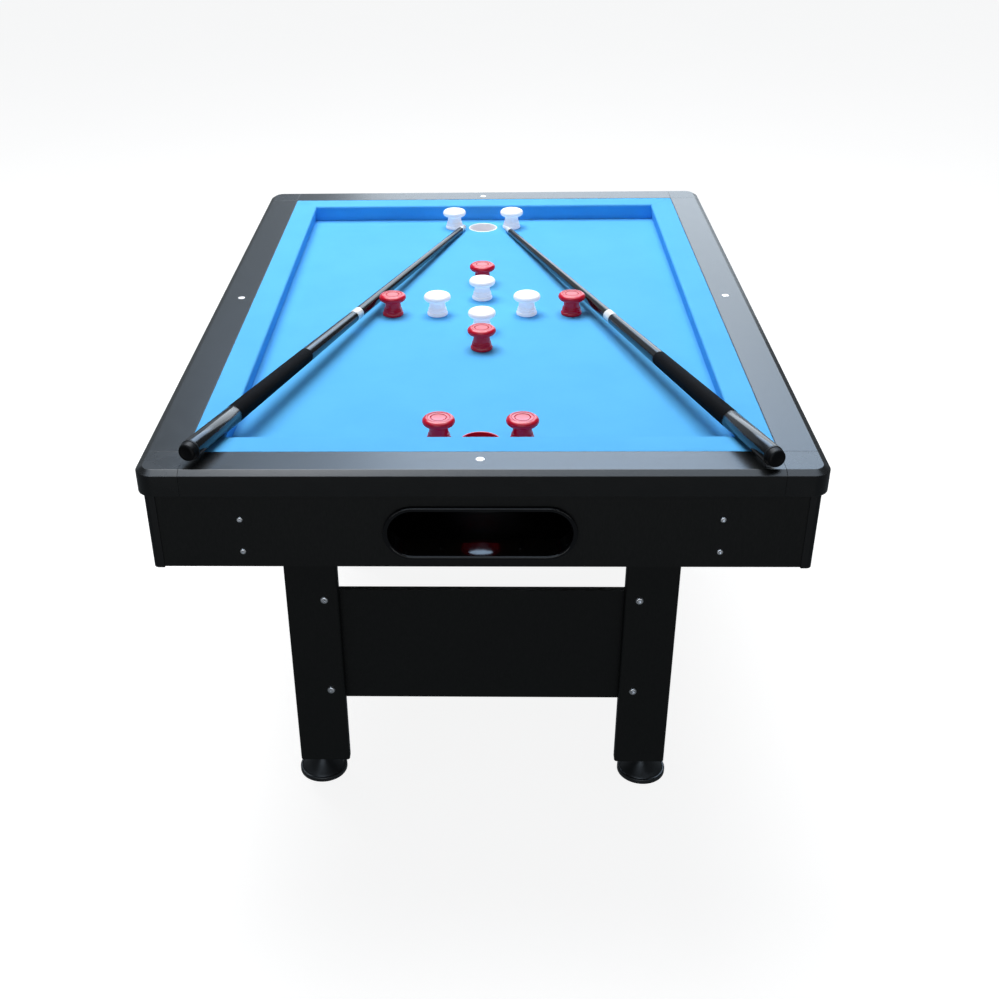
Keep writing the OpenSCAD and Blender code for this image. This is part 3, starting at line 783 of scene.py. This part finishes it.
def fill_walls(obj, *pairs):
    """Fills the flat wall between an outer and an inner loop, for each pair of loops."""
    bm = bmesh.new()
    bm.from_mesh(obj.data)
    bm.verts.ensure_lookup_table()
    for loops in pairs:
        edges = []
        for loop in loops:
            for a, b in zip(loop, loop[1:] + loop[:1]):
                ends = (bm.verts[a], bm.verts[b])
                edges.append(bm.edges.get(ends) or bm.edges.new(ends))
        bmesh.ops.triangle_fill(bm, edges=edges, use_beauty=True)
    bmesh.ops.recalc_face_normals(bm, faces=bm.faces)
    for face in bm.faces:
        face.smooth = True
    bm.to_mesh(obj.data)
    bm.free()


def make_ball_box(end, sy):
    """Bezel with a round lip, a sleeve through the apron and an open-topped tray."""
    low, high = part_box(f"ball_box_{end}")
    face_y = side_box(f"apron_{end}", 1)[0]
    rings = [mouth_ring(offset, y) for offset, y in mouth_stations(face_y)]
    skins = [tray_corners(low, high, face_y - SILL, inset) for inset in (0, BOX_WALL)]
    verts, numbers = stack(rings + skins)
    *mouth, outer, inner = numbers
    obj = mesh_object(f"ball_box_{end}_moulding", verts, skin(mouth) + tray_faces(outer, inner))
    fill_walls(obj, (outer[:4], mouth[0]), (inner[:4], mouth[-1]))
    if sy < 0:
        obj.data.transform(Matrix.Scale(-1, 4, (0, 1, 0)))
        obj.data.flip_normals()
    place(obj, "table", [f"ball_box_{end}"], BOX_BLACK)
    soften(obj, LIP_EDGE)


# --- Feet ---

def foot_profile(top, bore):
    """Half section of a pad: rounded rim, groove, flared cone and the stem's bore for the stud."""
    profile = [(0, 0), (PAD_R - 0.0015, 0), (PAD_R, 0.0012)]
    profile += arc(PAD_R - PAD_RIM_R, PAD_RIM_H - PAD_RIM_R, PAD_RIM_R, 0, 90, 6)
    profile += [(PAD_R - 0.0036, PAD_RIM_H), (PAD_R - 0.0042, PAD_RIM_H - 0.0008)]
    profile += [(FOOT_CONE_R, PAD_RIM_H)]
    for share in [k / 12 for k in range(1, 13)]:
        flare = (1 - share) ** 1.25
        profile.append((STEM_R + (FOOT_CONE_R - STEM_R) * flare, PAD_RIM_H + FOOT_CONE_H * share))
    profile += [(STEM_R, top - 0.0008), (STEM_R - 0.0008, top)]
    return profile + [(BORE_R, top), (BORE_R, bore), (0, bore)]


def make_foot(name):
    """The pad of a foot, bored just deeper than its stud."""
    low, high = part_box(f"foot_pad_{name}")
    centre = (low + high) / 2
    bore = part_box(f"foot_stud_{name}")[0].z - STUD_GAP
    shape = copies(lathe(foot_profile(high.z, bore), 80), [(centre.x, centre.y, 0)])
    pad = mesh_object(f"foot_{name}_moulding", *shape)
    place(pad, f"foot_{name}", [f"foot_pad_{name}"], FOOT_BLACK)


def thread_radius(step, turn):
    """Radius at a step up the thread and a share of a turn round it."""
    phase = (step / THREAD_STEPS - turn) % 1
    crest = 1 - abs(2 * phase - 1)
    return STUD_ROOT + (STUD_R - STUD_ROOT) * crest


def make_stud(name):
    """A steel stud with its real thread, which climbs one pitch a turn."""
    low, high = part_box(f"foot_stud_{name}")
    centre = (low + high) / 2
    steps = round((high.z - low.z) / STUD_PITCH * THREAD_STEPS)
    rings = []
    for k in range(steps + 1):
        radii = [thread_radius(k, s / THREAD_SEGMENTS) for s in range(THREAD_SEGMENTS)]
        if k in (0, steps):
            radii = [STUD_ROOT] * THREAD_SEGMENTS
        rings.append(turned_ring(radii, low.z + (high.z - low.z) * k / steps))
    shape = copies(capped(rings), [(centre.x, centre.y, 0)])
    stud = mesh_object(f"foot_stud_{name}_thread", *shape)
    place(stud, f"stud_{name}", [f"foot_stud_{name}"], ZINC)


# --- Screws ---

def hex_radii(apothem, count):
    """Radii of a hexagon's outline at evenly spaced turns."""
    radii = []
    for k in range(count):
        turn = math.radians(360 * k / count)
        fold = (turn + math.pi / 6) % (math.pi / 3) - math.pi / 6
        radii.append(apothem / math.cos(fold))
    return radii


def button_screw(shank_r, head_r, head_h, length):
    """A button-head screw with a hex socket: its head above Z 0 and its shank below."""
    count = 36
    rounds = [(shank_r - 0.0006, -length), (shank_r, 0.0008 - length), (shank_r, 0)]
    rounds += [(head_r, 0), (head_r, head_h * 0.25)]
    for turn in [math.radians(15 * k) for k in range(1, 7)]:
        r = head_r * (0.62 + 0.38 * math.cos(turn))
        rounds.append((r, head_h * (0.25 + 0.75 * math.sin(turn))))
    socket = hex_radii(head_r * 0.42, count)
    rings = [turned_ring([r] * count, z) for r, z in rounds]
    rings += [turned_ring(socket, head_h), turned_ring(socket, head_h * 0.3)]
    return capped(rings)


def make_screws(node, size, length, spots, turn):
    """A group of screws with the undersides of their heads at the spots, turned by a matrix from +Z."""
    shape = button_screw(*size, length)
    parts = [moved(moved(shape, turn(spot)), Matrix.Translation(spot)) for spot in spots]
    screws = mesh_object(f"{node}_button", *together(*parts))
    place(screws, "table", [node], ZINC)
    even_shading(screws).keep_sharp = True


def facing_y(point):
    """Turns +Z to the outside of the end that a point is at."""
    return Matrix.Rotation(math.radians(90 if point[1] < 0 else -90), 4, "X")


def facing_x(point):
    """Turns +Z to the outside of the long side that a point is at."""
    return Matrix.Rotation(math.radians(-90 if point[0] < 0 else 90), 4, "Y")


def facing_down(point):
    """Turns +Z down, wherever the point is."""
    return Matrix.Rotation(math.radians(180), 4, "X")


def make_outer_screws(node, size, length, turn):
    """Screws at the corners of a node's box in two rows, on both ends or on both long sides."""
    _, head_r, head_h = size
    low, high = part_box(node)
    inset_x, inset_y = (head_h, head_r) if turn is facing_x else (head_r, head_h)
    x, y = high.x - inset_x, high.y - inset_y
    rows = (low.z + head_r, high.z - head_r)
    spots = [(sx * x, sy * y, z) for sx in (-1, 1) for sy in (-1, 1) for z in rows]
    make_screws(node, size, length, spots, turn)


def make_all_screws():
    make_outer_screws("apron_screws", APRON_SCREW, APRON_SCREW_LEN, facing_y)
    make_outer_screws("panel_bolts", PANEL_BOLT, PANEL_BOLT_LEN, facing_y)
    make_outer_screws("leg_bolts", LEG_BOLT, LEG_BOLT_LEN, facing_x)
    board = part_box("bed_board")[0].z
    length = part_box("bumper_screws")[1].z - board
    places = bumper_places("red", "front") + bumper_places("white", "back")
    make_screws("bumper_screws", BUMPER_SCREW, length, [(x, y, board) for x, y in places], facing_down)


# --- Cues: every profile is (radius, distance from the tip) ---

def cue_frame(name):
    """The cue's own frame: origin at its tip, +Z towards its butt."""
    hinge = JOINTS[f"{name}_cue_unscrew"]
    along = -Vector(hinge["axis"]).normalized()
    tip = Vector(hinge["pos_m"]) - along * JOINT_AT
    turn = along.to_track_quat("Z", "Y").to_matrix().to_4x4()
    return Matrix.Translation(tip) @ turn, along


def cue_radius(s):
    """Radius of the wood along a cue: straight tapers from the ferrule to the joint and to the grip."""
    if s < JOINT_AT:
        share = (s - FERRULE_END) / (JOINT_AT - FERRULE_END)
        return TIP_R + (JOINT_R - TIP_R) * share
    share = (s - COLLAR_END) / (GRIP_START - COLLAR_END)
    return JOINT_R + 0.0002 + (GRIP_START_R - JOINT_R - 0.0002) * share


def taper_profile(start, end):
    """Outer line of a tapered length with eased edges."""
    edge, steps = 0.0004, 12
    line = [(cue_radius(start) - edge, start)]
    stops = [start + edge + (end - start - 2 * edge) * k / steps for k in range(steps + 1)]
    line += [(cue_radius(s), s) for s in stops]
    return line + [(cue_radius(end) - edge, end)]


def tip_profile():
    """The domed leather tip and the ferrule, with a fine groove between them."""
    line = [(0, 0), (TIP_R * 0.35, TIP_DOME * 0.12), (TIP_R * 0.68, TIP_DOME * 0.45)]
    line += [(TIP_R * 0.90, TIP_DOME), (TIP_R, TIP_DOME * 1.7), (TIP_R + 0.0001, LEATHER - 0.0004)]
    line += [(TIP_R - 0.0002, LEATHER), (TIP_R, LEATHER + 0.0004)]
    return line + [(TIP_R, FERRULE_END - 0.0003), (TIP_R - 0.0003, FERRULE_END), (0, FERRULE_END)]


def shaft_profile():
    """The front half, with the joint pin's bore in its rear end."""
    bore_end = JOINT_AT - PIN_LEN - JOINT_GAP
    line = [(0, FERRULE_END), *taper_profile(FERRULE_END, JOINT_AT)]
    return line + [(PIN_BORE_R, JOINT_AT), (PIN_BORE_R, bore_end), (0, bore_end)]


def collar_profile():
    """The collar behind the joint, with a groove before its last ring."""
    start, groove_r = JOINT_AT + JOINT_GAP, COLLAR_R - 0.0004
    line = [(PIN_R, start), (groove_r, start), (COLLAR_R, start + 0.0005)]
    line += [(COLLAR_R, COLLAR_END - 2 * COLLAR_RING)]
    line += [(groove_r, COLLAR_END - 2 * COLLAR_RING + 0.0003)]
    line += [(groove_r, COLLAR_END - COLLAR_RING - 0.0003), (COLLAR_R, COLLAR_END - COLLAR_RING)]
    return line + [(COLLAR_R, COLLAR_END - 0.0004), (groove_r, COLLAR_END), (PIN_R, COLLAR_END)]


def butt_profile():
    """The joint pin, the lacquered length, the seat under the wrap and the end up to the cap."""
    line = [(0, JOINT_AT - PIN_LEN), (PIN_R, JOINT_AT - PIN_LEN), (PIN_R, COLLAR_END)]
    line += taper_profile(COLLAR_END, GRIP_START)
    line += [(GRIP_START_R - WRAP_DEPTH, GRIP_START), (GRIP_END_R - WRAP_DEPTH, GRIP_END)]
    line += [(GRIP_END_R - 0.0006, GRIP_END), (GRIP_END_R - 0.0002, GRIP_END + 0.0006)]
    return line + [(END_CAP_R - 0.0002, END_CAP_START), (0, END_CAP_START)]


def grip_profile():
    """The wrap, let into the butt."""
    line = [(GRIP_START_R - WRAP_DEPTH, GRIP_START), (GRIP_START_R - 0.0002, GRIP_START)]
    line += [(GRIP_START_R, GRIP_START + 0.0006), (GRIP_END_R, GRIP_END - 0.0006)]
    return line + [(GRIP_END_R - 0.0002, GRIP_END), (GRIP_END_R - WRAP_DEPTH, GRIP_END)]


def cap_profile():
    """The rubber end cap, with a groove round it and a rounded end."""
    line = [(0, END_CAP_START), (END_CAP_R - 0.0003, END_CAP_START), (END_CAP_R, END_CAP_START + 0.0008)]
    line += [(END_CAP_R - 0.0001, END_CAP_START + 0.0034), (END_CAP_R - 0.0010, END_CAP_START + 0.0041)]
    line += [(END_CAP_R - 0.0011, END_CAP_START + 0.0050), (END_CAP_R - 0.0006, END_CAP_START + 0.0058)]
    line += [(r, CUE_LEN - 0.0038 + s) for r, s in arc(END_CAP_R - 0.0056, 0, 0.0038, 0, 90, 6)]
    return line + [(END_CAP_R - 0.0072, CUE_LEN - 0.0006), (0, CUE_LEN - 0.0008)]


def make_cue(name):
    """A cue's turned pieces; what lies before the joint rides on the half that unscrews."""
    matrix, along = cue_frame(name)
    rear, front = f"{name}_cue_rear", f"{name}_cue_front"

    def piece(part, profile, body, material, closed=False):
        obj = mesh_object(f"cue_{name}_{part}_turned", *moved(lathe(profile, 48, closed), matrix))
        place(obj, body, [f"cue_{name}_{part}"], material)
        return obj

    wrap = cue_wrap(f"cue_wrap_{name}", tuple(along))
    piece("shaft", shaft_profile(), front, CUE_BLACK)
    piece("butt", butt_profile(), rear, CUE_BLACK)
    piece("grip", grip_profile(), rear, wrap, closed=True)
    piece("collar", collar_profile(), rear, CUE_WHITE, closed=True)
    ferrule = piece("ferrule", tip_profile(), front, CUE_WHITE)
    colour_leather(ferrule, matrix.inverted())
    piece("cap", cap_profile(), rear, RUBBER)


def colour_leather(ferrule, to_cue):
    """Gives the tip's faces, which lie before the ferrule, their own colour."""
    ferrule.data.materials.append(LEATHER_TIP)
    for face in ferrule.data.polygons:
        if (to_cue @ face.center).z < LEATHER:
            face.material_index = 1


# --- Putting the object together ---

def make_table_top():
    for name, side in SIDES:
        make_rail(name, side)
        make_cushion_cloth(name, side)
    for name, sx, sy in CORNERS:
        make_corner_cap(name, sx, sy)
    make_sights()
    make_bed_cloth()
    make_sleeve("red", "front", RED)
    make_sleeve("white", "back", WHITE)
    make_bumpers("red", "front", RED)
    make_bumpers("white", "back", WHITE)
    NODES["cushion_rubbers"].data.materials[0] = GUM
    dress("bed_board", BOARD_RAW, THIN_EDGE)


def dress_cabinet():
    for name, _ in SIDES:
        dress(f"apron_{name}", BOARD_BLACK)
    dress("corner_posts", TRIM_BLACK, THIN_EDGE)
    dress("side_beams", BOARD_RAW)
    dress("cross_members", BOARD_RAW)
    for name, _, _ in CORNERS:
        dress(f"leg_{name}", BOARD_BLACK)
        make_foot(name)
        make_stud(name)
    for end, sy in ENDS:
        dress(f"end_panel_{end}", BOARD_BLACK)
        make_ball_box(end, sy)
    dress("tee_nuts", ZINC, NUT_EDGE)
    make_all_screws()


# --- Studio ---

def add_light(name, location, target, size, power, colour, reflected):
    """A soft box; a reflected one only shows in glossy surfaces and lights nothing."""
    light = bpy.data.lights.new(name, "AREA")
    light.shape = "RECTANGLE"
    light.size, light.size_y = size
    light.energy = power
    light.color = colour
    obj = add_object(name, light)
    obj.visible_camera = False
    obj.visible_diffuse = not reflected
    obj.location = location
    obj.rotation_euler = (Vector(target) - Vector(location)).to_track_quat("-Z", "Y").to_euler()


def make_floor():
    """A pale floor that curves up into a wall all round, a little self-lit so that it stays even."""
    flat_reach = FLOOR_REACH - FLOOR_COVE
    profile = [(0, 0), (flat_reach, 0), *arc(flat_reach, FLOOR_COVE, FLOOR_COVE, -80, 0, 8)]
    profile.append((FLOOR_REACH, WALL_H))
    floor = mesh_object("studio_floor", *lathe(profile, 96))
    floor.data.flip_normals()
    s = Shader("studio_floor", (0.30, 0.30, 0.30), 0.9, Specular_IOR_Level=0.0,
               Emission_Color=(1, 1, 1, 1), Emission_Strength=FLOOR_GLOW)
    s.colour(s.mix(s.ramp(s.noise(0.5, 2), 0, 1), (0.295, 0.296, 0.298), (0.305, 0.306, 0.308)))
    floor.data.materials.append(s.material)
    floor.visible_glossy = False
    floor.visible_diffuse = False
    floor.visible_shadow = False


def make_world():
    world = bpy.data.worlds.new("studio")
    world.use_nodes = True
    background = world.node_tree.nodes["Background"]
    background.inputs["Color"].default_value = (*SKY, 1)
    background.inputs["Strength"].default_value = SKY_STRENGTH
    bpy.context.scene.world = world


def make_strips(name, strips, z, high, colour):
    """Upright strips side by side in the wall behind the table."""
    for number, (left, right, strength) in enumerate(strips):
        x, wide = (left + right) / 2, right - left
        add_light(f"{name}_{number}", (x, REAR_Y, z), (x, 0, REAR_TARGET_Z), (wide, high),
                  strength * wide * high, colour, True)


def make_studio():
    """A soft box over the table, one low in front, and panels that only show in reflections."""
    make_floor()
    make_world()
    for soft_box in SOFT_BOXES:
        add_light(*soft_box)
    make_strips("rear_low", REAR_LOW, z=2.5, high=3.2, colour=(0.80, 0.90, 1))
    make_strips("rear_high", REAR_HIGH, z=5.8, high=3.4, colour=(0.53, 0.73, 1))
    bpy.context.scene.view_settings.view_transform = "Standard"


def make_camera():
    """The camera stands at the near end, a little to the right, and looks down at the bed."""
    yaw, pitch, roll = (math.radians(a) for a in (CAMERA_YAW, CAMERA_PITCH, CAMERA_ROLL))
    forward = Vector((math.sin(yaw) * math.cos(pitch), math.cos(yaw) * math.cos(pitch),
                      -math.sin(pitch)))
    right = Vector((math.cos(yaw), -math.sin(yaw), 0))
    down = forward.cross(right)
    right, down = (math.cos(roll) * right + math.sin(roll) * down,
                   math.cos(roll) * down - math.sin(roll) * right)
    data = bpy.data.cameras.new("camera")
    data.sensor_width = CAMERA_SENSOR
    data.lens = CAMERA_LENS
    data.shift_x, data.shift_y = CAMERA_SHIFT
    camera = add_object("camera", data)
    columns = (right, -down, -forward, Vector(CAMERA_AT))
    camera.matrix_world = Matrix([[c[i] for c in columns] for i in range(3)] + [[0, 0, 0, 1]])
    bpy.context.scene.camera = camera


make_camera()
make_table_top()
dress_cabinet()
make_cue("left")
make_cue("right")
make_studio()
